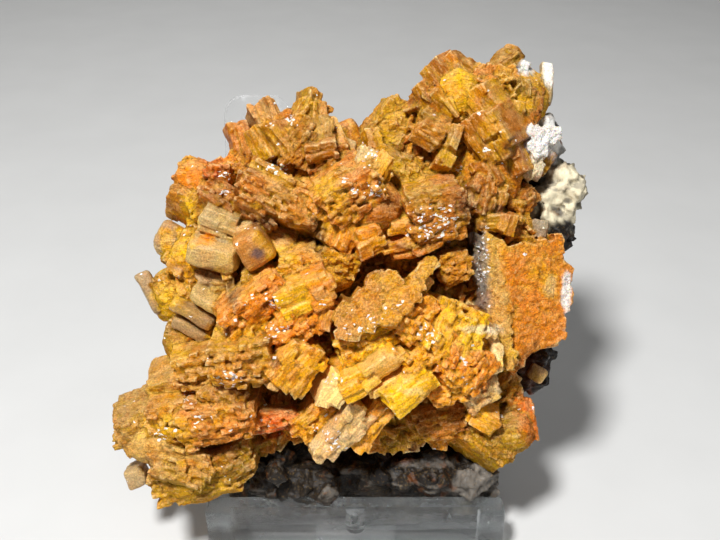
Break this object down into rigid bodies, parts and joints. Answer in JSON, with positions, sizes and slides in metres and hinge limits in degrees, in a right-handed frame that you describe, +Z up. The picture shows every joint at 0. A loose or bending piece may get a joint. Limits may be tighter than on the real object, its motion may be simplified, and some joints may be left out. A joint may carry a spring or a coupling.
{
  "type": "mineral specimen on display stand",
  "caption": "Crust of stacked tabular barite crystals on a slab of broken rock, leaning in a clear plastic display stand.",
  "frame": {"origin": "middle of the underside of the stand and specimen together, on the surface that the stand rests on", "axes": "+Z up, -Y towards the crystal face and the stand's lip, +X to the right as seen from the front"},
  "size_m": [0.0956, 0.067, 0.0931],
  "materials": {
    "barite": "dusty orange-tan crystals with glassy glints",
    "rock": "rough broken dark grey rock with white patches",
    "clear_plastic": "clear moulded plastic with fine scratches"
  },
  "bodies": {
    "root": {"barite_crystals": "barite", "matrix_rock": "rock", "display_stand": "clear_plastic"}
  },
  "joints": []
}
